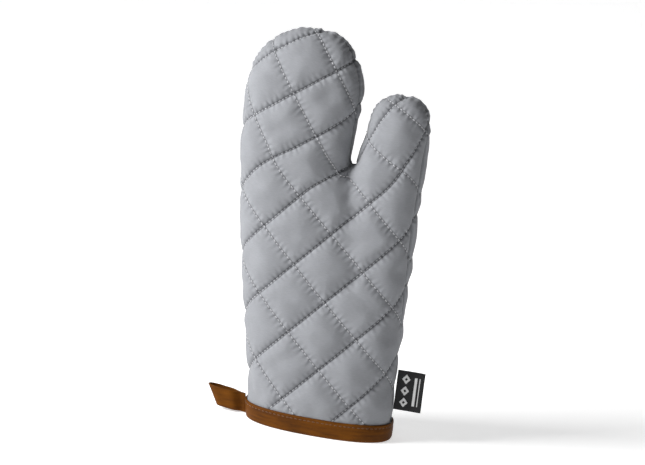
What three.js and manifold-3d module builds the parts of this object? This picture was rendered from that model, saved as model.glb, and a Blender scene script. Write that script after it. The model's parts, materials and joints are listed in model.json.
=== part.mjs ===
// A quilted oven mitt, standing on its cuff with the fingers up (+Z), the thumb towards +X and its
// front towards -Y. Millimetres. Each layer of cloth is a front and a back half, sewn together along
// the side seam in the plane y = 0.
import * as THREE from "three";
import { ParametricGeometry } from "three/addons/geometries/ParametricGeometry.js";
import { mergeVertices } from "three/addons/utils/BufferGeometryUtils.js";
import Module from "manifold-3d";

// Outline, from the front
const mittHeight = 320; // hem of the cuff to the tip of the hand
const cuffWidth = 116; // at the hem, without the binding
const handFlare = 34; // how far the hand leans out past the cuff on the side away from the thumb
const handWidth = 95.5; // across the fingers
const neckInset = 5.5; // how much narrower the hand is at the crotch, on the thumb's side
const handTipLength = 55; // rounded end of the hand
const handTipShift = 6; // its highest point, towards the thumb from the middle of the fingers
const fingerLength = 104; // crotch to the tip of the hand
const thumbLength = 62; // crotch to the tip of the thumb
const thumbWidth = 49.5; // at the shoulder of the thumb
const thumbTipLength = 25; // rounded end of the thumb
const crotchGap = 4.5; // between hand and thumb, at the crotch
const thumbGap = 6; // between the thumb at its shoulder and the hand at its widest
const thumbRootInset = 12; // the thumb's root starts this far inside the cuff's far side
const thumbSkinInset = 1; // and this far inside its skin, so that one skin lies outside at the cuff
const handLeanCurve = 1.15; // exponents of the edges' curves: over 1, most of the bend comes high up
const neckCurve = 2.4;
const shoulderCurve = 1.5;

// Depth, front to back, when a hand fills the mitt
const cuffDepth = 60;
const handDepth = 48;
const thumbDepth = 37;
const roundness = 2.4; // superellipse exponent of a section: 2 is an ellipse, more is boxier
const tipRoundness = 2.1; // the same for the rounded ends

// Layers, from the outside in
const outerThickness = 0.9;
const waddingThickness = 4;
const liningThickness = 0.6;
const layerGap = 0.3; // clearance between neighbours that touch in the real mitt
const seamAllowance = 7; // depth of the turned-in edge inside the side seam
const seamAllowanceThickness = 3;

// Binding and its stitching
const bindingHeight = 14.5;
const bindingThickness = 1.5;
const stitchInset = 2.2; // below the binding's upper edge
const threadWidth = 0.6;
const threadDepth = 0.5;
const grooveOvercut = 1; // the groove for the thread is cut from this far outside the tape

// Hanging loop: a doubled tape that leaves the side seam at the cuff
const loopWidth = 15.5;
const loopLength = 27;
const loopTapeThickness = 1.3;
const loopEye = 6.6; // widest opening between its two layers
const loopRise = 14.5; // degrees above the square to the side seam
const loopLift = 0.6; // its lowest corner above the hem
const loopWidestAt = 0.42; // share of its length from the seam to its widest place
const loopFlank = 0.48; // share of the way to there at which its layers have parted
const loopBend = 0.66; // share of the way from there to the fold at which they turn in
const loopFoldFullness = 0.8; // 1 is a square fold
const loopSewnLength = 4.2; // its layers are sewn together this far from the seam

// Folded label in the other side seam
const labelWidth = 21.5; // seam to fold
const labelHeight = 33;
const labelThickness = 1;
const labelBottom = 24.5; // above the hem
const tabClearance = 0.5; // between the root of a sewn tab and what it turns against

// How finely the shapes are divided
const around = 24;
const palmSteps = 6;
const fingerSteps = 2;
const tipSteps = 5;
const tabSteps = 4;

const wasm = await Module();
wasm.setup();

const FAR = 1000; // side of the blocks that cut the mitt, larger than any part of it
const crotchHeight = mittHeight - fingerLength;
const handShoulder = mittHeight - handTipLength;
const thumbHeight = crotchHeight + thumbLength;
const thumbShoulder = thumbHeight - thumbTipLength;
const cuffHalf = cuffWidth / 2;
const handLeft = -cuffHalf - handFlare;
const handRight = handLeft + handWidth;
const handNeck = handRight - neckInset;
const thumbLeft = handRight + thumbGap;
const thumbRight = thumbLeft + thumbWidth;

const mix = (from, to, share) => from + (to - from) * share;
const clampedShare = (z, top) => Math.min(Math.max(z / top, 0), 1);

// The edges of the hand and of the thumb at the height z. Both start as one cuff and part at the crotch.
function handSection(z) {
  const lean = Math.sin((Math.PI / 2) * clampedShare(z, handShoulder) ** handLeanCurve);
  const narrowing = clampedShare(z, crotchHeight) ** neckCurve;
  const widening = clampedShare(z - crotchHeight, handShoulder - crotchHeight) ** shoulderCurve;
  return {
    left: mix(-cuffHalf, handLeft, lean),
    right: z < crotchHeight ? mix(cuffHalf, handNeck, narrowing) : mix(handNeck, handRight, widening),
    depth: mix(cuffDepth, handDepth, clampedShare(z, handShoulder)),
  };
}

function thumbSection(z) {
  const rootLeft = -cuffHalf + thumbRootInset;
  const crotchLeft = handNeck + crotchGap;
  return {
    left:
      z < crotchHeight
        ? mix(rootLeft, crotchLeft, clampedShare(z, crotchHeight))
        : mix(crotchLeft, thumbLeft, clampedShare(z - crotchHeight, thumbShoulder - crotchHeight)),
    right: mix(cuffHalf - thumbSkinInset, thumbRight, clampedShare(z, thumbShoulder)),
    depth: mix(cuffDepth - 2 * thumbSkinInset, thumbDepth, clampedShare(z, thumbShoulder)),
  };
}

// A closed three.js geometry as a manifold-3d solid, and back as a named mesh.
function solid(geometry) {
  const bare = geometry.clone();
  bare.deleteAttribute("normal");
  bare.deleteAttribute("uv");
  const merged = mergeVertices(bare);
  return new wasm.Manifold(
    new wasm.Mesh({
      numProp: 3,
      vertProperties: merged.attributes.position.array,
      triVerts: new Uint32Array(merged.index.array),
    }),
  );
}

function meshOf(name, material, body) {
  const { vertProperties, triVerts, numProp } = body.getMesh();
  const geometry = new THREE.BufferGeometry();
  const points = new THREE.InterleavedBuffer(vertProperties, numProp);
  geometry.setAttribute("position", new THREE.InterleavedBufferAttribute(points, 3, 0));
  geometry.setIndex(new THREE.BufferAttribute(triVerts, 1));
  const flat = geometry.toNonIndexed();
  flat.computeVertexNormals();
  const mesh = new THREE.Mesh(flat, material);
  mesh.name = name;
  return mesh;
}

// A closed skin through level sections, each a superellipse with its own centre, width and depth.
function loft(sections) {
  const last = sections.length - 1;
  return new ParametricGeometry(
    (u, v, target) => {
      const { z, centre, halfWidth, halfDepth } = sections[Math.round(v * last)];
      const angle = 2 * Math.PI * (Math.round(u * around) % around) / around;
      const bulge = (value) => Math.sign(value) * Math.abs(value) ** (2 / roundness);
      target.set(centre + halfWidth * bulge(Math.cos(angle)), halfDepth * bulge(Math.sin(angle)), z);
    },
    around,
    last,
  );
}

// The skin of the hand or the thumb, moved inwards by inset, from below the hem to its rounded end.
function finger(sectionAt, shoulder, height, tipShift, inset) {
  const sections = [];
  const addSection = (z, edgeHeight, share) => {
    const { left, right, depth } = sectionAt(edgeHeight);
    sections.push({
      z,
      centre: (left + right) / 2 + (z > shoulder ? tipShift * (1 - share) : 0),
      halfWidth: ((right - left) / 2 - inset) * share,
      halfDepth: (depth / 2 - inset) * share,
    });
  };
  addSection(-bindingHeight, 0, 0);
  addSection(-bindingHeight, 0, 1);
  for (let i = 0; i <= palmSteps; i++) {
    const z = (crotchHeight * i) / palmSteps;
    addSection(z, z, 1);
  }
  for (let i = 1; i <= fingerSteps; i++) {
    const z = mix(crotchHeight, shoulder, i / fingerSteps);
    addSection(z, z, 1);
  }
  for (let i = 1; i <= tipSteps; i++) {
    const angle = ((Math.PI / 2) * i) / tipSteps;
    const rise = Math.sin(angle) ** (2 / tipRoundness);
    const share = i === tipSteps ? 0 : Math.cos(angle) ** (2 / tipRoundness);
    addSection(shoulder + (height - inset - shoulder) * rise, shoulder, share);
  }
  return solid(loft(sections));
}

// The whole mitt, hand and thumb together, moved inwards by inset.
const skins = new Map();
function skin(inset) {
  if (!skins.has(inset)) {
    const hand = finger(handSection, handShoulder, mittHeight, handTipShift, inset);
    const thumb = finger(thumbSection, thumbShoulder, thumbHeight, 0, inset);
    skins.set(inset, hand.add(thumb));
  }
  return skins.get(inset);
}
const layer = (outside, inside) => skin(outside).subtract(skin(inside));

// A block that keeps what lies between two heights and two depths.
function block(bottom, top, front, back) {
  const box = new THREE.BoxGeometry(FAR, back - front, top - bottom);
  box.translate(0, (front + back) / 2, (bottom + top) / 2);
  return solid(box);
}

// Where each layer starts and ends, counted inwards from the mitt's outer face
const waddingOutside = outerThickness + layerGap;
const liningOutside = waddingOutside + waddingThickness + layerGap;
const liningInside = liningOutside + liningThickness;
const rawEdge = bindingThickness + layerGap; // height of the layers' cut edge inside the binding

const cloth = new THREE.MeshStandardMaterial({ color: 0xa6a8ac, roughness: 0.92, metalness: 0 });
const padding = new THREE.MeshStandardMaterial({ color: 0xe8e6e0, roughness: 0.98, metalness: 0 });
const lining = new THREE.MeshStandardMaterial({ color: 0xb9babd, roughness: 0.95, metalness: 0 });
const tape = new THREE.MeshStandardMaterial({ color: 0x603614, roughness: 0.6, metalness: 0 });
const tapeThread = new THREE.MeshStandardMaterial({ color: 0x6f4520, roughness: 0.7, metalness: 0 });
const seamThread = new THREE.MeshStandardMaterial({ color: 0xc4c5c8, roughness: 0.85, metalness: 0 });
const labelCloth = new THREE.MeshStandardMaterial({ color: 0x131313, roughness: 0.75, metalness: 0 });

const mitt = new THREE.Group();

// Outer cloth, wadding and lining: a front and a back half of each
function addHalves(name, material, outside, inside) {
  const whole = layer(outside, inside);
  const front = whole.intersect(block(rawEdge, FAR, -FAR, -layerGap / 2));
  const back = whole.intersect(block(rawEdge, FAR, layerGap / 2, FAR));
  mitt.add(meshOf(name + "_front", material, front), meshOf(name + "_back", material, back));
}
addHalves("outer", cloth, 0, outerThickness);
addHalves("wadding", padding, waddingOutside, waddingOutside + waddingThickness);
addHalves("lining", lining, liningOutside, liningInside);

// Turned-in edge of the side seam, inside the lining, bound by its overlock stitch
const allowanceOutside = liningInside + layerGap;
const allowance = layer(allowanceOutside, allowanceOutside + seamAllowance).intersect(
  block(bindingHeight + layerGap, FAR, -seamAllowanceThickness / 2, seamAllowanceThickness / 2),
);
mitt.add(meshOf("side_seam_overlock", seamThread, allowance));

// Binding: a tape folded over the cut edges of all layers, with a groove where its stitching sinks in
const bindingOutside = -(layerGap + bindingThickness);
const bindingInside = liningInside + layerGap + bindingThickness;
const foldedTape = layer(bindingOutside, bindingInside).intersect(block(0, bindingHeight, -FAR, FAR));
const slot = layer(-layerGap, liningInside + layerGap).intersect(block(bindingThickness, FAR, -FAR, FAR));
const stitchTop = bindingHeight - stitchInset;
const grooveFloor = bindingOutside + threadDepth + layerGap;
const groove = layer(bindingOutside - grooveOvercut, grooveFloor).intersect(
  block(stitchTop - threadWidth - 2 * layerGap, stitchTop, -FAR, FAR),
);
mitt.add(meshOf("cuff_binding", tape, foldedTape.subtract(slot).subtract(groove)));

const thread = layer(bindingOutside, bindingOutside + threadDepth).intersect(
  block(stitchTop - layerGap - threadWidth, stitchTop - layerGap, -FAR, FAR),
);
mitt.add(meshOf("binding_topstitch", tapeThread, thread));

// A tab sewn into a side seam turns about its root, which is rounded about the hinge line. The outline
// is drawn in the tab's own frame: x away from the mitt from the hinge line, and z along that line.
function tabMesh(name, material, outline, height) {
  const settings = { depth: height, bevelEnabled: false, curveSegments: tabSteps };
  const geometry = new THREE.ExtrudeGeometry(outline, settings);
  return meshOf(name, material, solid(geometry));
}

// A group whose z axis runs along the mitt's edge from one height to another, clear of what is there.
function seamFrame(name, edgeAt, bottom, top, clearance, outwards) {
  const lower = new THREE.Vector3(edgeAt(bottom) + outwards * clearance, 0, bottom);
  const upper = new THREE.Vector3(edgeAt(top) + outwards * clearance, 0, top);
  const frame = new THREE.Group();
  frame.name = name;
  frame.position.copy(lower);
  const along = upper.sub(lower).normalize();
  frame.rotation.y = Math.atan2(along.x, along.z);
  return frame;
}

// Hanging loop: two layers of tape that part into an eye and meet again in the fold at the far end
const loopRoot = loopTapeThickness;
const loopFrame = seamFrame(
  "loop_hinge",
  (z) => handSection(z).left,
  loopLift,
  loopLift + loopWidth,
  -bindingOutside + tabClearance + loopRoot,
  -1,
);
const loopWidest = -loopLength * loopWidestAt;
function addLeaf(path, start, startHalf, end, half) {
  const flank = mix(start, loopWidest, loopFlank);
  const bend = mix(loopWidest, end, loopBend);
  const full = half * loopFoldFullness;
  path.bezierCurveTo(flank, half, flank, half, loopWidest, half);
  path.bezierCurveTo(bend, half, end, full, end, 0);
  path.bezierCurveTo(end, -full, bend, -half, loopWidest, -half);
  path.bezierCurveTo(flank, -half, flank, -half, start, -startHalf);
}
const loopOutline = new THREE.Shape();
loopOutline.absarc(0, 0, loopRoot, -Math.PI / 2, Math.PI / 2, false);
addLeaf(loopOutline, 0, loopRoot, -loopLength, loopEye / 2 + loopTapeThickness);
const eye = new THREE.Path();
eye.moveTo(-loopSewnLength, 0);
addLeaf(eye, -loopSewnLength, 0, -loopLength + loopTapeThickness, loopEye / 2);
loopOutline.holes.push(eye);
const loop = tabMesh("hanging_loop", tape, loopOutline, loopWidth);
const rise = Math.tan(THREE.MathUtils.degToRad(loopRise));
loop.geometry.applyMatrix4(new THREE.Matrix4().set(1, 0, 0, 0, 0, 1, 0, 0, -rise, 0, 1, 0, 0, 0, 0, 1));
loopFrame.add(loop);
mitt.add(loopFrame);

// Label: one folded piece of woven tape, rounded at its root and at its fold
const labelRoot = labelThickness / 2;
const labelFrame = seamFrame(
  "label_hinge",
  (z) => Math.max(handSection(z).right, thumbSection(z).right),
  labelBottom,
  labelBottom + labelHeight,
  tabClearance + labelRoot,
  1,
);
const labelOutline = new THREE.Shape();
labelOutline.absarc(0, 0, labelRoot, Math.PI / 2, (Math.PI * 3) / 2, false);
labelOutline.absarc(labelWidth - labelRoot, 0, labelRoot, -Math.PI / 2, Math.PI / 2, false);
labelFrame.add(tabMesh("side_label", labelCloth, labelOutline, labelHeight));
mitt.add(labelFrame);

// The part's origin is the middle of its box's underside.
const box = new THREE.Box3().setFromObject(mitt, true);
mitt.position.set(-(box.min.x + box.max.x) / 2, -(box.min.y + box.max.y) / 2, -box.min.z);
const part = new THREE.Group();
part.add(mitt);

export default part;
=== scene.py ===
import json
import math

import bmesh
import bpy
import numpy as np
from mathutils import Matrix, Quaternion, Vector
from mathutils.bvhtree import BVHTree
from mathutils.geometry import barycentric_transform


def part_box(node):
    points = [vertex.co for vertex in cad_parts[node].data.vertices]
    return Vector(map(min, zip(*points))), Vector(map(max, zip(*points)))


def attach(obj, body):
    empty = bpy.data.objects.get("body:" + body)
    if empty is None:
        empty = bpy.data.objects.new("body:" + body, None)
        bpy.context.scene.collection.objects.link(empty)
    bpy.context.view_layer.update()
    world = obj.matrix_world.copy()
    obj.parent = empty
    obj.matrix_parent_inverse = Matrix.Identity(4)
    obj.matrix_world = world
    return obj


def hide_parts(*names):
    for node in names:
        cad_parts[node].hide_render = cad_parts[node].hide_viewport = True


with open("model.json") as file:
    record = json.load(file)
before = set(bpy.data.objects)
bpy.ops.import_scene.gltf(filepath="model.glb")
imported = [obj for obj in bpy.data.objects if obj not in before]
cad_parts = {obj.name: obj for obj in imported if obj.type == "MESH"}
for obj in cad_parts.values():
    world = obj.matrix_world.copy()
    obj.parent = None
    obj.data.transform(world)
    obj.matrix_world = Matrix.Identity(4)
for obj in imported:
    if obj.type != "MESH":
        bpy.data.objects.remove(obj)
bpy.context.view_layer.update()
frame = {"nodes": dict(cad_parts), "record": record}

scene = bpy.context.scene

# ---------------------------------------------------------------------------------------------
# Camera. It stands a little to the thumb's side of the mitt and above it, and leans so that the
# mitt stands tilted in the picture.
# ---------------------------------------------------------------------------------------------
camera_aim = Vector((-0.0105, 0.0, 0.1578))
camera_azimuth = math.radians(10)
camera_elevation = math.radians(12.7)
camera_lean = math.radians(7.1)
camera_distance = 1.872
camera_lens = 0.132
sensor = 0.036

camera = bpy.data.objects.new("camera", bpy.data.cameras.new("camera"))
camera.data.lens = camera_lens * 1000
camera.data.sensor_width = sensor * 1000
camera.data.clip_end = 20
towards_mitt = Vector((
    -math.sin(camera_azimuth) * math.cos(camera_elevation),
    math.cos(camera_azimuth) * math.cos(camera_elevation),
    -math.sin(camera_elevation),
))
camera.location = camera_aim - towards_mitt * camera_distance
camera.rotation_mode = "QUATERNION"
camera.rotation_quaternion = towards_mitt.to_track_quat("-Z", "Y") @ Quaternion((0, 0, 1), camera_lean)
scene.collection.objects.link(camera)
scene.camera = camera
scene.view_settings.view_transform = "Standard"

# ---------------------------------------------------------------------------------------------
# Studio. A white sheet of background paper under and behind the mitt, a large soft light high on
# the left, a weak one on the right, and an even pale room.
# ---------------------------------------------------------------------------------------------
paper_reach = 4.0
paper_bend = 1.2
paper_glow = 0.55
key_place = (-1.75, -0.95, 1.3)
key_size = 0.9
key_power = 82
fill_place = (1.6, -1.5, 0.6)
fill_size = 1.4
fill_power = 0.5
room_strength = 0.1


def piece_from(form, name):
    """The bmesh as an object of the scene."""
    mesh = bpy.data.meshes.new(name)
    form.to_mesh(mesh)
    form.free()
    piece = bpy.data.objects.new(name, mesh)
    scene.collection.objects.link(piece)
    return piece


def shade_smooth(piece):
    """Smooth shading on every face."""
    piece.data.polygons.foreach_set("use_smooth", [True] * len(piece.data.polygons))


def new_material(name):
    """A node material, its node tree and its shader."""
    material = bpy.data.materials.new(name)
    material.use_nodes = True
    tree = material.node_tree
    return material, tree, tree.nodes["Principled BSDF"]


def node(tree, kind, **values):
    """One shader node with the given settings; keys that name inputs set or link those inputs."""
    made = tree.nodes.new("ShaderNode" + kind)
    for key, value in values.items():
        if key not in made.inputs:
            setattr(made, key, value)
        elif isinstance(value, bpy.types.NodeSocket):
            tree.links.new(value, made.inputs[key])
        else:
            made.inputs[key].default_value = value
    return made


paper = bmesh.new()
bmesh.ops.create_grid(paper, x_segments=1, y_segments=1, size=paper_reach)
back_edges = [e for e in paper.edges if all(v.co.y > 0 for v in e.verts)]
back_sheet = bmesh.ops.extrude_edge_only(paper, edges=back_edges)["geom"]
raised_corners = [v for v in back_sheet if isinstance(v, bmesh.types.BMVert)]
bmesh.ops.translate(paper, verts=raised_corners, vec=(0, 0, paper_reach))
paper_fold = [e for e in paper.edges if all(v.co.y > 0 and v.co.z < 0.001 for v in e.verts)]
bmesh.ops.bevel(
    paper, geom=paper_fold, offset=paper_bend, offset_type="OFFSET", affect="EDGES",
    segments=24, profile=0.5, material=-1,
)
studio_paper = piece_from(paper, "studio_paper")
shade_smooth(studio_paper)
paper_material, tree, shader = new_material("studio_paper")
shader.inputs["Base Color"].default_value = (0.88, 0.88, 0.88, 1)
shader.inputs["Roughness"].default_value = 0.9
shader.inputs["Emission Color"].default_value = (1, 1, 1, 1)
shader.inputs["Emission Strength"].default_value = paper_glow
studio_paper.data.materials.append(paper_material)


def soft_light(name, place, size, power):
    """A square area light that faces the middle of the mitt."""
    light = bpy.data.objects.new(name, bpy.data.lights.new(name, "AREA"))
    light.data.size = size
    light.data.energy = power
    light.location = place
    light.rotation_mode = "QUATERNION"
    light.rotation_quaternion = (camera_aim - Vector(place)).to_track_quat("-Z", "Y")
    scene.collection.objects.link(light)


soft_light("key_light", key_place, key_size, key_power)
soft_light("fill_light", fill_place, fill_size, fill_power)
room = bpy.data.worlds.new("room")
room.use_nodes = True
room.node_tree.nodes["Background"].inputs["Color"].default_value = (1, 1, 1, 1)
room.node_tree.nodes["Background"].inputs["Strength"].default_value = room_strength
scene.world = room

# ---------------------------------------------------------------------------------------------
# Outer cloth. Plain-weave grey cloth, cut as one front and one back panel with hand and thumb in
# one piece, quilted to the wadding in square diamonds and puffed up by it between the seams. The
# two panels are sewn together along the side seam, face to face, and turned out.
# ---------------------------------------------------------------------------------------------
quilt_pitch = 0.0386
quilt_turn = math.radians(47.1)
quilt_phase = (0.0331, 0.0038)
stitch_pitch = 0.0034
edge_radius = 0.024
crotch = (0.0062, 0.216)
gap_slope = 0.13
spread_start = 0.195
spread_reach = 0.03
spread = 0.21
hand_pivot = -0.05
thumb_pivot = 0.044
mesh_step = 0.0024
smoothing_rounds = 22
crotch_reach = 0.02
cut_height = 0.0035
cuff_exponent = 2.4
cuff_fold = 0.0018
snug_top = 0.045
snug_bottom = 0.016
seam_wander_thumb = 0.008
seam_wander_hand = 0.006
pin_reach = 0.0011
seam_reach = 0.0013
cuff_reach = 0.0145
puff_height = 0.0018
puff_cap = 0.0024
puff_rounds = 7
dome_height = 0.0012
dome_reach = 0.0085
cloth_frames = 16
groove_depths = (0.0014, 0.0006)
groove_reach = 0.0012
valley_depths = (0.0009, 0.0004)
valley_reach = 0.0042
seam_depth = 0.0026
seam_width = 0.0015
gather_depth = 0.00045
gather_pitch = 0.0055
gather_reach = 0.007
gather_tips = ((-0.034, 0.268, 0.05), (0.04, 0.256, 0.023))
smallest_sheet = 1000
cloth_thickness = 0.0007


def mesh_arrays(mesh):
    """Vertex places, vertex normals and edges of a mesh as arrays."""
    places = np.empty(len(mesh.vertices) * 3)
    mesh.vertices.foreach_get("co", places)
    normals = np.empty(len(mesh.vertices) * 3)
    mesh.vertices.foreach_get("normal", normals)
    edges = np.empty(len(mesh.edges) * 2, dtype=np.int64)
    mesh.edges.foreach_get("vertices", edges)
    return places.reshape(-1, 3), normals.reshape(-1, 3), edges.reshape(-1, 2)


def move_vertices(mesh, places):
    """Sets every vertex of a mesh."""
    mesh.vertices.foreach_set("co", places.ravel())
    mesh.update()


def averaged(values, edges, rounds, free):
    """Values at the vertices, evened out along the edges where free is 1."""
    count = np.bincount(edges.ravel(), minlength=len(values))[:, None]
    for _ in range(rounds):
        total = np.empty_like(values)
        for axis in range(values.shape[1]):
            total[:, axis] = np.bincount(
                edges.ravel(), weights=values[edges[:, ::-1], axis].ravel(), minlength=len(values)
            )
        values = values + 0.5 * free * (total / count - values)
    return values


def settled(piece):
    """Applies a piece's modifiers to its mesh."""
    graph = bpy.context.evaluated_depsgraph_get()
    mesh = bpy.data.meshes.new_from_object(piece.evaluated_get(graph))
    piece.modifiers.clear()
    piece.data = mesh


def kept_island(form, outermost):
    """Keeps the outermost or the innermost of a bmesh's separate sheets."""
    waiting = set(form.verts)
    islands = []
    while waiting:
        front = [waiting.pop()]
        island = list(front)
        while front:
            near = [e.other_vert(v) for v in front for e in v.link_edges]
            front = [v for v in set(near) if v in waiting]
            waiting.difference_update(front)
            island.extend(front)
        islands.append(island)
    islands.sort(key=lambda island: max(v.co.z for v in island) * (len(island) > smallest_sheet))
    keep = set(islands[-1] if outermost else islands[-2])
    bmesh.ops.delete(form, geom=[v for v in form.verts if v not in keep], context="VERTS")


# All layers of the quilted sandwich melt into one wall, which is cut open at the cuff: its outside
# is the outer cloth and its inside is the lining.
wall = bmesh.new()
for layer in ("outer", "wadding", "lining"):
    for side in ("front", "back"):
        wall.from_mesh(frame["nodes"][layer + "_" + side].data)
bmesh.ops.remove_doubles(wall, verts=wall.verts, dist=1e-6)
wall = piece_from(wall, "quilted_wall")
remesh = wall.modifiers.new("even_mesh", "REMESH")
remesh.mode = "VOXEL"
remesh.voxel_size = mesh_step
settled(wall)

tape_points, _, _ = mesh_arrays(frame["nodes"]["cuff_binding"].data)
cuff_low, cuff_high = (Vector(corner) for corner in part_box("cuff_binding"))


def cuff_outline(heights):
    """Middle, half width and half depth of the sandwich's outer face near the cuff."""
    ends = []
    for height in (cuff_low.z, cuff_high.z):
        ring = tape_points[np.abs(tape_points[:, 2] - height) < 0.0002]
        low, high = ring.min(axis=0), ring.max(axis=0)
        ends.append([(low[0] + high[0]) / 2, (high[0] - low[0]) / 2, (high[1] - low[1]) / 2])
    share = (heights - cuff_low.z) / (cuff_high.z - cuff_low.z)
    middle, width, depth = (np.interp(share, (0, 1), pair) for pair in zip(*ends))
    return middle, width - cuff_fold, depth - cuff_fold


def snug(places, inset):
    """Rounds the sandwich near the cuff to the smooth outline that the binding holds it to."""
    middle, width, depth = cuff_outline(places[:, 2])
    from_middle = np.stack([places[:, 0] - middle, places[:, 1]], axis=1)
    reach = np.abs(from_middle) / np.stack([width - inset, depth - inset], axis=1)
    reach = (reach ** cuff_exponent).sum(axis=1) ** (1 / cuff_exponent)
    held = np.clip((snug_top - places[:, 2]) / (snug_top - snug_bottom), 0, 1)
    held = held * held * (3 - 2 * held)
    places = places.copy()
    places[:, :2] += from_middle * (held * (1 / reach - 1))[:, None]
    return places


def skin_of_wall(name, outermost, inset):
    """One face of the wall as a smooth sheet that is open at the cuff."""
    form = bmesh.new()
    form.from_mesh(wall.data)
    bmesh.ops.bisect_plane(
        form, geom=form.verts[:] + form.edges[:] + form.faces[:], dist=1e-6,
        plane_co=(0, 0, cut_height), plane_no=(0, 0, 1), clear_inner=True,
    )
    kept_island(form, outermost)
    skin = piece_from(form, name)
    places, _, edges = mesh_arrays(skin.data)
    from_crotch = np.hypot(places[:, 0] - crotch[0], places[:, 2] - crotch[1])
    free = 1 - 0.8 * np.exp(-((from_crotch / crotch_reach) ** 2))
    free *= np.clip((places[:, 2] - 0.006) / 0.01, 0, 1)
    places = averaged(places, edges, smoothing_rounds, free[:, None])
    move_vertices(skin.data, snug(places, inset))
    return skin


def flat_places(mesh):
    """Where each vertex lies on the flat cut: its place seen from the front, the extra cloth that
    turns round the edge, and the lean of hand and thumb, which a filled mitt brings together."""
    places, normals, edges = mesh_arrays(mesh)
    outwards = normals[:, [0, 2]]
    slope = np.clip(np.linalg.norm(outwards, axis=1, keepdims=True), 1e-6, 1)
    turned = np.arcsin(slope)
    extra = averaged(outwards / slope * edge_radius * (turned - slope), edges, 12, 1)
    flat = places[:, [0, 2]] + extra
    above = flat[:, 1] - spread_start
    from_gap = places[:, 0] - crotch[0] - gap_slope * np.maximum(places[:, 2] - crotch[1], 0)
    join = 0.015 * np.clip((crotch[1] - places[:, 2]) / 0.02, 0.02, 1)
    side = np.clip(from_gap / join, -1, 1)
    lean = side * spread * np.clip(above / spread_reach, 0, 1)
    pivot = np.where(side > 0, thumb_pivot, hand_pivot)
    return flat + np.stack([lean * above, lean * (pivot - flat[:, 0])], axis=1)


def quilt_distances(flat):
    """Distance to the nearest line of each of the two families, and the place along it."""
    c, s = math.cos(quilt_turn), math.sin(quilt_turn)
    rising = (flat[:, 1] * c - flat[:, 0] * s) - quilt_phase[0]
    falling = (flat[:, 1] * s + flat[:, 0] * c) - quilt_phase[1]
    away = [np.abs((v / quilt_pitch + 0.5) % 1 - 0.5) * quilt_pitch for v in (rising, falling)]
    return away[0], away[1], falling, rising


def seam_places(places):
    """How far in front of the mitt's middle plane its side seam runs: it wanders forwards on the
    thumb's side of the hand and of the body, and stays in the middle elsewhere."""
    x, z = places[:, 0], places[:, 2]
    body = np.clip((x - 0.03) / 0.02, 0, 1) * np.sin(np.pi * np.clip((z - 0.06) / 0.225, 0, 1))
    on_hand = x < crotch[0] + gap_slope * (z - crotch[1])
    hand = np.clip((x + 0.04) / 0.04, 0, 1) * np.sin(np.pi * np.clip((z - crotch[1]) / 0.113, 0, 1))
    return -seam_wander_thumb * body - seam_wander_hand * hand * on_hand


def stored(mesh, name, values):
    """Keeps two numbers for each vertex in a named attribute."""
    layer = mesh.attributes.new(name, "FLOAT_VECTOR", "POINT")
    padded = np.zeros((len(values), 3), dtype=np.float32)
    padded[:, :2] = values
    layer.data.foreach_set("vector", padded.ravel())


def recalled(mesh, name):
    """Reads back what stored() kept."""
    values = np.empty(len(mesh.vertices) * 3, dtype=np.float32)
    mesh.attributes[name].data.foreach_get("vector", values)
    return values.reshape(-1, 3)[:, :2].astype(float)


def puffed(skin):
    """Lets the wadding push the cloth up between the quilting seams, the side seam and the cuff."""
    before, _, edges = mesh_arrays(skin.data)
    rising, falling, _, _ = quilt_distances(recalled(skin.data, "flat"))
    from_seam = np.abs(before[:, 1] - seam_places(before))
    sewn = (np.minimum(rising, falling) < pin_reach) | (from_seam < seam_reach)
    sewn |= before[:, 2] < cuff_reach
    group = skin.vertex_groups.new(name="sewn")
    group.add(np.flatnonzero(sewn).tolist(), 1.0, "REPLACE")
    cloth = skin.modifiers.new("wadding_pressure", "CLOTH")
    cloth.settings.quality = 5
    cloth.settings.mass = 0.3
    cloth.settings.tension_stiffness = 25
    cloth.settings.compression_stiffness = 25
    cloth.settings.shear_stiffness = 10
    cloth.settings.bending_stiffness = 2
    cloth.settings.shrink_min = -0.015
    cloth.settings.use_pressure = True
    cloth.settings.uniform_pressure_force = 4
    cloth.settings.vertex_group_mass = "sewn"
    cloth.settings.effector_weights.gravity = 0
    cloth.collision_settings.use_collision = False
    cloth.point_cache.frame_start = 1
    cloth.point_cache.frame_end = cloth_frames
    for moment in range(1, cloth_frames + 1):
        scene.frame_set(moment)
    settled(skin)
    scene.frame_set(1)
    after, _, _ = mesh_arrays(skin.data)
    moved = averaged(after - before, edges, puff_rounds, 1)
    reach = np.linalg.norm(moved, axis=1, keepdims=True)
    moved = moved * puff_height / max(np.percentile(reach, 97), 1e-6)
    reach = np.linalg.norm(moved, axis=1, keepdims=True)
    moved = moved * np.minimum(1, puff_cap / np.maximum(reach, 1e-9))
    move_vertices(skin.data, before + moved)


def domed(skin):
    """The firm rise of the wadding in the middle of every diamond."""
    places, normals, _ = mesh_arrays(skin.data)
    rising, falling, _, _ = quilt_distances(recalled(skin.data, "flat"))
    from_seam = np.abs(places[:, 1] - seam_places(places))
    held = np.minimum(np.minimum(rising, falling), from_seam) / dome_reach
    rise = dome_height * (1 - np.exp(-(held ** 2)))
    rise *= np.clip((places[:, 2] - cuff_reach) / 0.012, 0, 1)
    move_vertices(skin.data, places + normals * rise[:, None])


outer = skin_of_wall("outer_cloth", True, 0)
stored(outer.data, "flat", flat_places(outer.data))
puffed(outer)
domed(outer)
puffed_sandwich = outer.data.copy()
finer = outer.modifiers.new("finer", "SUBSURF")
finer.levels = 1
finer.render_levels = 1
settled(outer)


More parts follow.
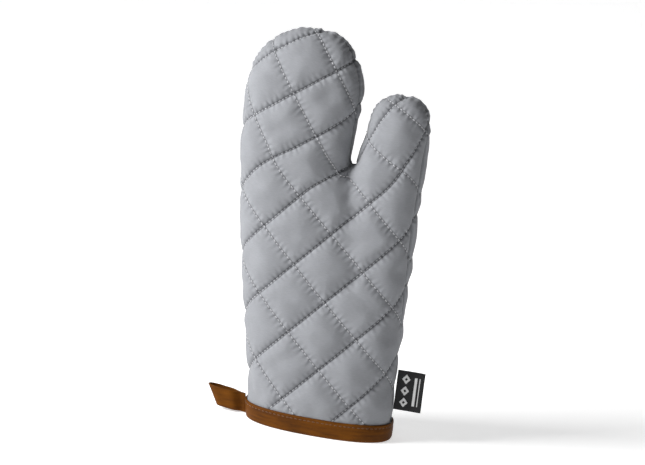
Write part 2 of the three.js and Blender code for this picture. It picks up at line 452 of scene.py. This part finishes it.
def sewn_in(places, normals, flat, depth):
    """How deep the cloth sinks at the quilting lines and the side seam, less the small gathers."""
    sunk = np.zeros(len(places))
    for away, groove, valley in zip(quilt_distances(flat), groove_depths, valley_depths):
        line = groove * np.exp(-((away / groove_reach) ** 2))
        line += valley * np.exp(-((away / valley_reach) ** 2))
        sunk = np.maximum(sunk, line)
    from_seam = np.abs(places[:, 1] - seam_places(places))
    sunk += seam_depth * np.exp(-((from_seam / seam_width) ** 2))
    for middle_x, middle_z, radius in gather_tips:
        x, z = places[:, 0] - middle_x, places[:, 2] - middle_z
        near_tip = np.exp(-(((np.hypot(x, z) - radius) / 0.012) ** 2)) * np.clip(z / 0.02 + 0.8, 0, 1)
        along = np.arctan2(x, z) * radius
        ripple = np.cos(2 * math.pi * along / gather_pitch + 1.7 * np.sin(along * 230))
        sunk += gather_depth * ripple * near_tip * np.exp(-((from_seam / gather_reach) ** 2))
    return sunk * np.clip((places[:, 2] - cuff_reach) / 0.004, 0, 1) * depth


places, normals, edges = mesh_arrays(outer.data)
flat = recalled(outer.data, "flat")
move_vertices(outer.data, places - normals * sewn_in(places, normals, flat, 1)[:, None])


def laid_flat(piece):
    """Gives a piece the flat cut's places, in metres, as its UV map."""
    flat = recalled(piece.data, "flat")
    uv_layer = piece.data.uv_layers.new(name="flat_cloth")
    corners = np.empty(len(piece.data.loops), dtype=np.int64)
    piece.data.loops.foreach_get("vertex_index", corners)
    uv_layer.data.foreach_set("uv", flat[corners].ravel().astype(np.float32))


laid_flat(outer)


def maths(tree, operation, *values):
    """The result of one Math node; each value is a number or another node's result."""
    made = tree.nodes.new("ShaderNodeMath")
    made.operation = operation
    for socket, value in zip(made.inputs, values):
        if isinstance(value, bpy.types.NodeSocket):
            tree.links.new(value, socket)
        else:
            socket.default_value = value
    return made.outputs[0]


def bell(tree, distance, width):
    """1 on a line, falling to 0 some widths away from it."""
    ratio = maths(tree, "DIVIDE", distance, width)
    return maths(tree, "EXPONENT", maths(tree, "MULTIPLY", maths(tree, "MULTIPLY", ratio, ratio), -1))


def noise_at(tree, place, scale, detail=3):
    """A noise from 0 to 1 at a place, with so many features to the metre."""
    return node(tree, "TexNoise", Vector=place, Scale=scale, Detail=detail).outputs["Fac"]


def weave_height(tree, u, v, yarn):
    """Plain weave, from -1 to 1: warp and weft pass over each other by turns."""
    over = maths(tree, "SINE", maths(tree, "MULTIPLY", u, math.pi / yarn))
    under = maths(tree, "SINE", maths(tree, "MULTIPLY", v, math.pi / yarn))
    return maths(tree, "MULTIPLY", over, under)


def tinted(tree, shader, light, dark, share):
    """The surface's colour, from dark at 0 to light at 1."""
    blend = node(tree, "Mix", data_type="RGBA")
    tree.links.new(share, blend.inputs[0])
    blend.inputs[6].default_value = dark
    blend.inputs[7].default_value = light
    tree.links.new(blend.outputs[2], shader.inputs["Base Color"])


def raised(tree, shader, height):
    """The surface's relief, from its height in metres."""
    relief = node(tree, "Bump", Strength=1.0, Distance=1.0, Height=height)
    tree.links.new(relief.outputs["Normal"], shader.inputs["Normal"])


def quilted_cloth(name, light, dark, yarn, pucker):
    """A woven, quilted cloth that reads the flat cut: weave, slubs, puckers, and painted shade in the
    quilting creases and stitch holes. The side seam shows as a painted shade line, with a painted
    highlight on the rolled edge beside it."""
    material, tree, shader = new_material(name)
    on_cloth = node(tree, "UVMap", uv_map="flat_cloth").outputs["UV"]
    split = node(tree, "SeparateXYZ", Vector=on_cloth)
    u, v = split.outputs["X"], split.outputs["Y"]
    c, s = math.cos(quilt_turn), math.sin(quilt_turn)
    rising = maths(tree, "SUBTRACT", maths(tree, "MULTIPLY", v, c), maths(tree, "MULTIPLY", u, s))
    falling = maths(tree, "ADD", maths(tree, "MULTIPLY", v, s), maths(tree, "MULTIPLY", u, c))
    weave = weave_height(tree, u, v, yarn)
    slub = noise_at(tree, node(tree, "Mapping", Vector=on_cloth, Scale=(1, 6, 1)).outputs[0], 260)
    patch = noise_at(tree, on_cloth, 45)
    height = maths(tree, "MULTIPLY", weave, 0.00004)
    height = maths(tree, "ADD", height, maths(tree, "MULTIPLY", noise_at(tree, on_cloth, 90), 0.0006))
    shade = maths(tree, "MULTIPLY_ADD", weave, 0.1, 0.32)
    shade = maths(tree, "ADD", shade, maths(tree, "MULTIPLY", slub, 0.32))
    shade = maths(tree, "ADD", shade, maths(tree, "MULTIPLY", patch, 0.4))
    # Painted shade in each quilting crease and needle hole. The rising lines cross the light from the
    # upper left and get deeper painted shade than the falling ones.
    families = ((rising, falling, quilt_phase[0], -1.0), (falling, rising, quilt_phase[1], -0.35))
    for across, along, phase, crease_shade_strength in families:
        distance = maths(tree, "PINGPONG", maths(tree, "SUBTRACT", across, phase), quilt_pitch / 2)
        beat = maths(tree, "PINGPONG", along, stitch_pitch / 2)
        wobble = maths(tree, "MULTIPLY", noise_at(tree, on_cloth, 70, 2), 9)
        ripple = maths(tree, "SINE", maths(tree, "MULTIPLY_ADD", along, 2 * math.pi / 0.0052, wobble))
        ripple = maths(tree, "MULTIPLY", ripple, bell(tree, distance, 0.0042))
        height = maths(tree, "MULTIPLY_ADD", ripple, pucker, height)
        hole = maths(tree, "MULTIPLY", bell(tree, distance, 0.0009), bell(tree, beat, 0.0007))
        painted_crease_shade = maths(tree, "MULTIPLY_ADD", hole, 0.9, bell(tree, distance, 0.0007))
        shade = maths(tree, "MULTIPLY_ADD", painted_crease_shade, crease_shade_strength, shade)
    from_seam = node(tree, "Attribute", attribute_name="from_seam").outputs["Fac"]
    # Along the side seam: a painted highlight on the rolled edge of the cloth, then painted shade in the
    # seam line itself.
    painted_seam_highlight = bell(tree, maths(tree, "SUBTRACT", from_seam, 0.0026), 0.0007)
    shade = maths(tree, "MULTIPLY_ADD", painted_seam_highlight, 0.3, shade)
    shade = maths(tree, "MULTIPLY_ADD", bell(tree, from_seam, 0.0011), -1, shade)
    shade = maths(tree, "MAXIMUM", shade, 0)
    tinted(tree, shader, light, dark, maths(tree, "MINIMUM", shade, 1))
    raised(tree, shader, height)
    tree.links.new(maths(tree, "MULTIPLY_ADD", patch, 0.14, 0.8), shader.inputs["Roughness"])
    shader.inputs["Sheen Weight"].default_value = 0.12
    shader.inputs["Sheen Roughness"].default_value = 0.45
    shader.inputs["Specular IOR Level"].default_value = 0.3
    return material


grey_cloth = quilted_cloth(
    "grey_cloth", (0.292, 0.3, 0.318, 1), (0.12, 0.124, 0.135, 1), yarn=0.0006, pucker=0.00028,
)


def half_of(whole, name, front, wanders=True):
    """The front or the back half of a sheet, cut along the side seam or in the middle plane."""

    def seam_ahead(verts):
        places = np.array([v.co for v in verts])
        return seam_places(places) if wanders else np.zeros(len(places))

    form = bmesh.new()
    form.from_mesh(whole)
    verts = list(form.verts)
    for vert, ahead in zip(verts, seam_ahead(verts)):
        vert.co.y -= ahead
    bmesh.ops.bisect_plane(
        form, geom=form.verts[:] + form.edges[:] + form.faces[:], dist=1e-6,
        plane_co=(0, -0.0001 if front else 0.0001, 0), plane_no=(0, 1, 0),
        clear_outer=front, clear_inner=not front,
    )
    verts = list(form.verts)
    for vert, ahead in zip(verts, seam_ahead(verts)):
        vert.co.y += ahead
    half = piece_from(form, name)
    shade_smooth(half)
    places, _, _ = mesh_arrays(half.data)
    from_seam = np.abs(places[:, 1] - seam_ahead(half.data.vertices))
    layer = half.data.attributes.new("from_seam", "FLOAT", "POINT")
    layer.data.foreach_set("value", from_seam.astype(np.float32))
    return half


def thickened(piece, thickness):
    """Gives a sheet its thickness, on its inner side."""
    wall = piece.modifiers.new("thickness", "SOLIDIFY")
    wall.thickness = thickness
    wall.offset = -1
    wall.use_rim = True


outer_halves = {}
for side in ("front", "back"):
    half = half_of(outer.data, "outer_cloth_" + side, side == "front")
    half.data.materials.append(grey_cloth)
    thickened(half, cloth_thickness)
    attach(half, "mitt")
    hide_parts("outer_" + side)
    outer_halves[side] = half
bpy.data.objects.remove(outer)

# ---------------------------------------------------------------------------------------------
# Wadding. A bat of needled polyester fibre behind each cloth panel, about 3 mm thick, pinched where
# the quilting goes through it.
# ---------------------------------------------------------------------------------------------
wadding_inset = 0.0015
wadding_loft = 0.0028

bat = bpy.data.objects.new("wadding", puffed_sandwich)
scene.collection.objects.link(bat)
places, normals, edges = mesh_arrays(bat.data)
flat = recalled(bat.data, "flat")
sunk = wadding_inset + sewn_in(places, normals, flat, 0.8)
move_vertices(bat.data, places - normals * sunk[:, None])

wadding_fibre, tree, shader = new_material("wadding_fibre")
on_piece = node(tree, "TexCoord").outputs["Object"]
tangle = noise_at(tree, on_piece, 700, 6)
clumps = noise_at(tree, on_piece, 90)
tinted(tree, shader, (0.86, 0.85, 0.81, 1), (0.6, 0.59, 0.55, 1), maths(tree, "MULTIPLY", tangle, clumps))
raised(tree, shader, maths(tree, "MULTIPLY", tangle, 0.0005))
shader.inputs["Roughness"].default_value = 0.98
shader.inputs["Sheen Weight"].default_value = 0.3

for side in ("front", "back"):
    half = half_of(bat.data, "wadding_bat_" + side, side == "front")
    half.data.materials.append(wadding_fibre)
    thickened(half, wadding_loft)
    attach(half, "mitt")
    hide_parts("wadding_" + side)
bpy.data.objects.remove(bat)

# ---------------------------------------------------------------------------------------------
# Lining. Thin plain-weave cloth, one front and one back panel, the face that the hand touches. It
# bulges a little into the mitt between the quilting seams that hold it.
# ---------------------------------------------------------------------------------------------
lining_inset = 0.0061
lining_bulge = 0.0007
lining_thickness = 0.0004

lining = skin_of_wall("lining_cloth", False, lining_inset)
stored(lining.data, "flat", flat_places(lining.data))
places, normals, edges = mesh_arrays(lining.data)
rising, falling, _, _ = quilt_distances(recalled(lining.data, "flat"))
bulge = 1 - np.exp(-((np.minimum(rising, falling) / 0.004) ** 2))
bulge *= np.clip((np.abs(places[:, 1]) - 0.004) / 0.004, 0, 1)
bulge *= np.clip((places[:, 2] - cuff_reach) / 0.01, 0, 1)
move_vertices(lining.data, places + normals * (lining_bulge * bulge)[:, None])
laid_flat(lining)
grey_lining = quilted_cloth(
    "grey_lining", (0.5, 0.51, 0.525, 1), (0.33, 0.335, 0.35, 1), yarn=0.0005, pucker=0.0001,
)

for side in ("front", "back"):
    half = half_of(lining.data, "lining_cloth_" + side, side == "front", wanders=False)
    half.data.materials.append(grey_lining)
    thickened(half, lining_thickness)
    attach(half, "mitt")
    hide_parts("lining_" + side)
bpy.data.objects.remove(lining)
bpy.data.objects.remove(wall)

# ---------------------------------------------------------------------------------------------
# Quilting stitches. Light grey thread in 3.4 mm lockstitches along every quilting line, pulled down
# into the groove, with a needle hole between one stitch and the next.
# ---------------------------------------------------------------------------------------------
stitch_length = 0.0027
stitch_radius = 0.00042
stitch_lifts = (-0.0001, 0.00035)
lines_each_way = 8
stitches_each_way = 90
clear_of_seam = 0.0015

grey_thread, tree, shader = new_material("grey_thread")
on_piece = node(tree, "TexCoord").outputs["Object"]
twist = node(tree, "TexWave", Vector=on_piece, Scale=900, Distortion=2).outputs["Fac"]
wear = noise_at(tree, on_piece, 120)
tinted(tree, shader, (0.6, 0.61, 0.63, 1), (0.34, 0.345, 0.36, 1),
       maths(tree, "MULTIPLY_ADD", twist, 0.5, maths(tree, "MULTIPLY", wear, 0.5)))
raised(tree, shader, maths(tree, "MULTIPLY", twist, 0.00006))
shader.inputs["Roughness"].default_value = 0.55
shader.inputs["Sheen Weight"].default_value = 0.2

stitch_form = bmesh.new()
bmesh.ops.create_uvsphere(
    stitch_form, u_segments=6, v_segments=4, radius=1,
    matrix=Matrix.Diagonal((stitch_length / 2, stitch_radius, stitch_radius * 0.8, 1)),
)
stitch_mesh = bpy.data.meshes.new("one_stitch")
stitch_form.to_mesh(stitch_mesh)
stitch_form.free()


def row_of_stitches(spots, name, material):
    """Copies of one stitch, each at a place, along a direction and flat against a surface."""
    one, _, _ = mesh_arrays(stitch_mesh)
    faces = [tuple(face.vertices) for face in stitch_mesh.polygons]
    points = []
    copies = []
    for place, along, up in spots:
        along = along.normalized()
        across = up.cross(along).normalized()
        turn = np.array([along, across, along.cross(across)])
        copies.extend([[len(points) * len(one) + corner for corner in face] for face in faces])
        points.append(one @ turn + np.array(place))
    mesh = bpy.data.meshes.new(name)
    mesh.from_pydata(np.concatenate(points).tolist(), [], copies)
    piece = bpy.data.objects.new(name, mesh)
    scene.collection.objects.link(piece)
    piece.data.materials.append(material)
    shade_smooth(piece)
    return piece


def quilting_spots(half):
    """Where each quilting stitch of one panel lies, found on the flat cut and taken to the cloth."""
    mesh = half.data
    mesh.calc_loop_triangles()
    triangles = [tuple(face.vertices) for face in mesh.loop_triangles]
    flat = recalled(mesh, "flat")
    flat_points = [Vector((u, v, 0)) for u, v in flat]
    tree = BVHTree.FromPolygons(flat_points, triangles)
    middle = flat.mean(axis=0)
    c, s = math.cos(quilt_turn), math.sin(quilt_turn)
    spots = []

    def on_cloth(u, v):
        hit, _, index, distance = tree.find_nearest((u, v, 0))
        if distance > 0.0002:
            return None, None
        corners = triangles[index]
        flat_corners = [flat_points[i] for i in corners]
        real_corners = [mesh.vertices[i].co for i in corners]
        normal = sum((mesh.vertices[i].normal for i in corners), Vector())
        return barycentric_transform(hit, *flat_corners, *real_corners), normal.normalized()

    up_right, up_left = Vector((c, s)), Vector((-s, c))
    families = zip((up_left, up_right), (up_right, up_left), quilt_phase, stitch_lifts)
    for across, along, phase, lift in families:
        line_middle = round((across.dot(middle) - phase) / quilt_pitch)
        row_middle = round(along.dot(middle) / stitch_pitch)
        for line in range(line_middle - lines_each_way, line_middle + lines_each_way + 1):
            for step in range(row_middle - stitches_each_way, row_middle + stitches_each_way + 1):
                spot = across * (phase + line * quilt_pitch) + along * ((step + 0.5) * stitch_pitch)
                place, up = on_cloth(*spot)
                if place is None or place.z < cuff_reach:
                    continue
                if abs(place.y - seam_places(np.array([place]))[0]) < clear_of_seam:
                    continue
                ahead, _ = on_cloth(*(spot + along * 0.001))
                if ahead is not None and (ahead - place).length > 0.0004:
                    spots.append((place + up * lift, ahead - place, up))
    return spots


for side in ("front", "back"):
    spots = quilting_spots(outer_halves[side])
    stitches = row_of_stitches(spots, "quilting_stitches_" + side, grey_thread)
    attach(stitches, "mitt")

# ---------------------------------------------------------------------------------------------
# Side seam. The turned-in edges of all layers, run over with overlock thread, which stand as a
# ridge inside the lining. The ridge keeps its CAD shape and gets the look of close slanting thread.
# ---------------------------------------------------------------------------------------------
overlock_pitch = 0.0022

overlock_thread, tree, shader = new_material("overlock_thread")
split = node(tree, "SeparateXYZ", Vector=node(tree, "TexCoord").outputs["Object"])
slant = maths(tree, "ADD", split.outputs["X"], split.outputs["Z"])
slant = maths(tree, "MULTIPLY_ADD", split.outputs["Y"], 0.6, slant)
loops = maths(tree, "PINGPONG", slant, overlock_pitch / 2)
loops = maths(tree, "DIVIDE", loops, overlock_pitch / 2)
tinted(tree, shader, (0.62, 0.63, 0.65, 1), (0.3, 0.305, 0.32, 1), loops)
raised(tree, shader, maths(tree, "MULTIPLY", loops, 0.0004))
shader.inputs["Roughness"].default_value = 0.7
shader.inputs["Sheen Weight"].default_value = 0.2
ridge = frame["nodes"]["side_seam_overlock"]
for slot in ridge.material_slots:
    slot.material = overlock_thread

# ---------------------------------------------------------------------------------------------
# Cuff binding. A smooth brown leather-look tape, folded over the cut edges of all the layers all
# round the cuff, with a crisp upper edge and a soft fold at the hem.
# ---------------------------------------------------------------------------------------------
ring_steps = 144
tape_thickness = 0.0015
sandwich_thickness = 0.0061
tape_gap = 0.0003
hem_radius = 0.0011
tape_stitch_height = cuff_high.z - 0.0025

tape_top = cuff_high.z
tape_in = -(sandwich_thickness + tape_gap + tape_thickness)
tape_profile = (
    (tape_gap, tape_top - 0.0004),
    (tape_gap + 0.0003, tape_top),
    (cuff_fold - 0.0004, tape_top),
    (cuff_fold, tape_top - 0.0005),
    (cuff_fold, tape_stitch_height + 0.0006),
    (cuff_fold - 0.0003, tape_stitch_height),
    (cuff_fold, tape_stitch_height - 0.0006),
    (cuff_fold + 0.0002, tape_top / 2),
    (cuff_fold, hem_radius * 1.5),
    (cuff_fold - hem_radius * 0.3, hem_radius * 0.4),
    (cuff_fold - hem_radius * 1.3, 0.0),
    ((cuff_fold + tape_in) / 2, 0.0),
    (tape_in + hem_radius * 1.3, 0.0),
    (tape_in + hem_radius * 0.3, hem_radius * 0.4),
    (tape_in, hem_radius * 1.5),
    (tape_in, tape_top - 0.0005),
    (tape_in + 0.0004, tape_top),
    (tape_in + tape_thickness, tape_top - 0.0004),
    (tape_in + tape_thickness, tape_thickness + 0.0006),
    (tape_in + tape_thickness + 0.0006, tape_thickness),
    (tape_gap - 0.0006, tape_thickness),
    (tape_gap, tape_thickness + 0.0006),
)


def cuff_place(angle, outset, height):
    """A place so far outside the sandwich's outer face, at an angle round the cuff."""
    middle, width, depth = (float(v) for v in cuff_outline(height))
    c, s = math.cos(angle), math.sin(angle)
    reach = (abs(c) ** cuff_exponent + abs(s) ** cuff_exponent) ** (-1 / cuff_exponent)
    return Vector((middle + (width + outset) * c * reach, (depth + outset) * s * reach, height))


binding = bmesh.new()
angle_of = binding.verts.layers.float.new("angle")
bmesh.ops.create_circle(binding, segments=ring_steps, radius=1)
for vert in binding.verts:
    vert[angle_of] = math.atan2(vert.co.y, vert.co.x)
first_ring = list(binding.edges)
ring = first_ring
for step, (outset, height) in enumerate(tape_profile):
    if step:
        grown = bmesh.ops.extrude_edge_only(binding, edges=ring)["geom"]
        ring = [e for e in grown if isinstance(e, bmesh.types.BMEdge) and e.is_boundary]
        ring = [e for e in ring if e not in first_ring]
    for vert in {v for e in ring for v in e.verts}:
        vert.co = cuff_place(vert[angle_of], outset, height)
bmesh.ops.bridge_loops(binding, edges=ring + first_ring)
bmesh.ops.recalc_face_normals(binding, faces=binding.faces)
binding = piece_from(binding, "leather_cuff_binding")
shade_smooth(binding)
finer = binding.modifiers.new("finer", "SUBSURF")
finer.levels = 1
finer.render_levels = 1


def brown_leather(name, light, dark):
    """A leather-look tape: long streaks along it, cloudy patches and fine pebbled grain."""
    material, tree, shader = new_material(name)
    on_piece = node(tree, "TexCoord").outputs["Object"]
    drawn = node(tree, "Mapping", Vector=on_piece, Scale=(0.12, 0.12, 1)).outputs[0]
    streaks = noise_at(tree, drawn, 420, 5)
    clouds = noise_at(tree, on_piece, 38, 3)
    grain = node(tree, "TexVoronoi", Vector=on_piece, Scale=1500).outputs["Distance"]
    shade = maths(tree, "MULTIPLY_ADD", streaks, 0.95, -0.28)
    shade = maths(tree, "MULTIPLY_ADD", clouds, 0.75, shade)
    shade = maths(tree, "MULTIPLY_ADD", grain, -0.12, shade)
    shade = maths(tree, "SUBTRACT", shade, 0.08)
    tinted(tree, shader, light, dark, maths(tree, "MINIMUM", maths(tree, "MAXIMUM", shade, 0), 1))
    height = maths(tree, "MULTIPLY", grain, 0.00006)
    height = maths(tree, "MULTIPLY_ADD", streaks, 0.00018, height)
    raised(tree, shader, height)
    tree.links.new(maths(tree, "MULTIPLY_ADD", streaks, 0.25, 0.5), shader.inputs["Roughness"])
    shader.inputs["Specular IOR Level"].default_value = 0.1
    return material


leather = brown_leather("brown_leather_tape", (0.185, 0.06, 0.002, 1), (0.032, 0.0085, 0.0006, 1))
binding.data.materials.append(leather)
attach(binding, "mitt")
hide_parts("cuff_binding")

# ---------------------------------------------------------------------------------------------
# Binding stitches. One row of brown thread close under the tape's upper edge, which goes through
# the tape, all the layers and the tape again.
# ---------------------------------------------------------------------------------------------
tape_stitch_pitch = 0.0036
outline_steps = 720

brown_thread, tree, shader = new_material("brown_thread")
on_piece = node(tree, "TexCoord").outputs["Object"]
twist = node(tree, "TexWave", Vector=on_piece, Scale=900, Distortion=2).outputs["Fac"]
tinted(tree, shader, (0.16, 0.06, 0.014, 1), (0.07, 0.024, 0.005, 1), twist)
raised(tree, shader, maths(tree, "MULTIPLY", twist, 0.00006))
shader.inputs["Roughness"].default_value = 0.6
shader.inputs["Sheen Weight"].default_value = 0.15

spots = []
for outset, facing in ((cuff_fold - 0.0001, 1), (tape_in + 0.0001, -1)):
    angles = [2 * math.pi * i / outline_steps for i in range(outline_steps)]
    outline = [cuff_place(angle, outset, tape_stitch_height) for angle in angles]
    travelled = 0
    for here, there in zip(outline, outline[1:] + outline[:1]):
        travelled += (there - here).length
        if travelled >= tape_stitch_pitch:
            travelled -= tape_stitch_pitch
            along = there - here
            spots.append((here, along, Vector((along.y, -along.x, 0)).normalized() * facing))
topstitch = row_of_stitches(spots, "binding_stitches", brown_thread)
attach(topstitch, "mitt")
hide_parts("binding_topstitch")

# ---------------------------------------------------------------------------------------------
# Hanging loop. The same brown tape, doubled: its two layers leave the side seam together, part into
# an eye for a hook, and meet in the fold. It slopes upwards and swings about its sewn root.
# ---------------------------------------------------------------------------------------------
loop_low, loop_high = (Vector(corner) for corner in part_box("hanging_loop"))
loop_rise = math.radians(14.5)
loop_width = 0.0155
loop_reach = 0.0263
loop_tape = 0.0013
loop_sewn = 0.12
loop_opening = 0.32
loop_fold = 0.2
loop_path_steps = 48
loop_rows = 8
loop_stub = 0.0008
loop_slant = 0.24

swing = next(row for row in frame["record"]["behaviour"]["joints"] if row["name"] == "loop_swing")
loop_root = Vector(swing["pos_m"])
loop_across = Vector(swing["axis"]).normalized()
loop_away = loop_across.cross(Vector((0, 1, 0))) + loop_across * math.tan(loop_rise)
if loop_away.x > 0:
    loop_away = -loop_across.cross(Vector((0, 1, 0))) + loop_across * math.tan(loop_rise)
loop_half = (loop_high.y - loop_low.y - loop_tape) / 2

loop = bmesh.new()
trail = []
for i in range(loop_path_steps + 1):
    turn = 2 * math.pi * i / loop_path_steps
    away = (1 - math.cos(turn)) / 2
    opened = min(1, max(0, (away - loop_sewn) / loop_opening))
    opened = opened * opened * (3 - 2 * opened)
    fold = math.sqrt(max(0, 1 - max(0, (away - (1 - loop_fold)) / loop_fold) ** 2))
    half = (loop_tape * 0.55 + (loop_half - loop_tape * 0.55) * opened) * fold
    sideways = -half if turn <= math.pi else half
    out = away * (loop_reach + loop_stub) - loop_stub
    trail.append(loop.verts.new(loop_root + loop_away * out + Vector((0, sideways, 0))))
trail_edges = [loop.edges.new(pair) for pair in zip(trail, trail[1:])]
for _ in range(loop_rows):
    grown = bmesh.ops.extrude_edge_only(loop, edges=trail_edges)["geom"]
    moved = [v for v in grown if isinstance(v, bmesh.types.BMVert)]
    edges = [e for e in grown if isinstance(e, bmesh.types.BMEdge)]
    trail_edges = [e for e in edges if set(e.verts) <= set(moved)]
    bmesh.ops.translate(loop, verts=moved, vec=loop_across * (loop_width / loop_rows))
for vert in loop.verts:
    offset = vert.co - loop_root
    height = offset.dot(loop_across)
    out = offset.x / loop_away.x
    vert.co += loop_away * (max(out, 0) * loop_slant * (height / loop_width - 1))
bmesh.ops.recalc_face_normals(loop, faces=loop.faces)
loop = piece_from(loop, "leather_hanging_loop")
shade_smooth(loop)
tape = loop.modifiers.new("tape", "SOLIDIFY")
tape.thickness = loop_tape * 0.85
tape.offset = 0
edge = loop.modifiers.new("edge", "BEVEL")
edge.width = 0.0003
edge.segments = 2
edge.limit_method = "ANGLE"
loop.data.materials.append(leather)
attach(loop, "loop")
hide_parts("hanging_loop")

# ---------------------------------------------------------------------------------------------
# Side label. A black woven ribbon, folded once, whose two ends are caught in the side seam. A plain
# pattern of white lozenges and bars is woven into both of its faces.
# ---------------------------------------------------------------------------------------------
label_low, label_high = (Vector(corner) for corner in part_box("side_label"))
label_ply = 0.00038
label_gap = 0.0002
label_steps = 14
label_bow = 0.0007
label_yarn = 0.00035
label_rows = 16
label_fold = 0.03
lozenge_width = 0.0068

label_reach = label_high.x - label_low.x - 0.0003
label_height = label_high.z - label_low.z - 0.0004
label = bmesh.new()
trail = []
for i in range(2 * label_steps + 1):
    share = i / label_steps
    away = share if share <= 1 else 2 - share
    fold = math.sqrt(max(0, 1 - max(0, (away - (1 - label_fold)) / label_fold) ** 2))
    half = (label_ply + label_gap) / 2 * fold
    bow = label_bow * math.sin(math.pi * away) * away
    sideways = bow - half if share <= 1 else bow + half
    out = label_low.x + 0.0002 + away * label_reach
    trail.append(label.verts.new((out, sideways, label_low.z + 0.0002)))
trail_edges = [label.edges.new(pair) for pair in zip(trail, trail[1:])]
for _ in range(label_rows):
    grown = bmesh.ops.extrude_edge_only(label, edges=trail_edges)["geom"]
    moved = [v for v in grown if isinstance(v, bmesh.types.BMVert)]
    edges = [e for e in grown if isinstance(e, bmesh.types.BMEdge)]
    trail_edges = [e for e in edges if set(e.verts) <= set(moved)]
    bmesh.ops.translate(label, verts=moved, vec=(0, 0, label_height / label_rows))
bmesh.ops.recalc_face_normals(label, faces=label.faces)
label = piece_from(label, "woven_side_label")
shade_smooth(label)
ribbon = label.modifiers.new("ribbon", "SOLIDIFY")
ribbon.thickness = label_ply
ribbon.offset = 0
edge = label.modifiers.new("edge", "BEVEL")
edge.width = 0.0001
edge.segments = 2
edge.limit_method = "ANGLE"

black_weave, tree, shader = new_material("black_woven_label")
split = node(tree, "SeparateXYZ", Vector=node(tree, "TexCoord").outputs["Object"])
out = maths(tree, "SUBTRACT", split.outputs["X"], label_low.x)
up = maths(tree, "SUBTRACT", split.outputs["Z"], label_low.z)
weave = weave_height(tree, out, up, label_yarn)
out_thread = maths(tree, "SNAP", out, label_yarn)
up_thread = maths(tree, "SNAP", up, label_yarn)


def between(tree, value, low, high):
    """1 where a value lies between two others, else 0."""
    over = maths(tree, "GREATER_THAN", value, low)
    return maths(tree, "MULTIPLY", over, maths(tree, "LESS_THAN", value, high))


lozenge_pitch = label_height / 3.4
beside = maths(tree, "ABSOLUTE", maths(tree, "SUBTRACT", out_thread, label_reach * 0.34))
above = maths(tree, "SUBTRACT", up_thread, label_height * 0.5)
above = maths(tree, "PINGPONG", above, lozenge_pitch / 2)
across = maths(tree, "DIVIDE", beside, lozenge_width / 2)
reach = maths(tree, "ADD", across, maths(tree, "DIVIDE", above, lozenge_pitch * 0.42))
inside = between(tree, up_thread, label_height * 0.06, label_height * 0.94)
lozenges = maths(tree, "MULTIPLY", between(tree, reach, 0.35, 1), inside)
bars_span = between(tree, up_thread, label_height * 0.14, label_height * 0.86)
wide_bar = between(tree, out_thread, label_reach * 0.64, label_reach * 0.74)
wide_bar = maths(tree, "MULTIPLY", wide_bar, bars_span)
thin_bar = between(tree, out_thread, label_reach * 0.82, label_reach * 0.86)
thin_bar = maths(tree, "MULTIPLY", thin_bar, bars_span)
white = maths(tree, "MAXIMUM", lozenges, maths(tree, "MAXIMUM", wide_bar, thin_bar))
fuzz = noise_at(tree, node(tree, "TexCoord").outputs["Object"], 2500)
shade = maths(tree, "MULTIPLY", white, maths(tree, "MULTIPLY_ADD", fuzz, 0.5, 0.55))
shade = maths(tree, "MULTIPLY_ADD", maths(tree, "MULTIPLY_ADD", weave, 0.5, 0.5), 0.012, shade)
tinted(tree, shader, (0.8, 0.8, 0.8, 1), (0.006, 0.006, 0.007, 1), shade)
raised(tree, shader, maths(tree, "MULTIPLY_ADD", weave, 0.00004, maths(tree, "MULTIPLY", white, 0.00006)))
tree.links.new(maths(tree, "MULTIPLY_ADD", fuzz, 0.25, 0.5), shader.inputs["Roughness"])
shader.inputs["Specular IOR Level"].default_value = 0.3
label.data.materials.append(black_weave)
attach(label, "label")
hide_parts("side_label")
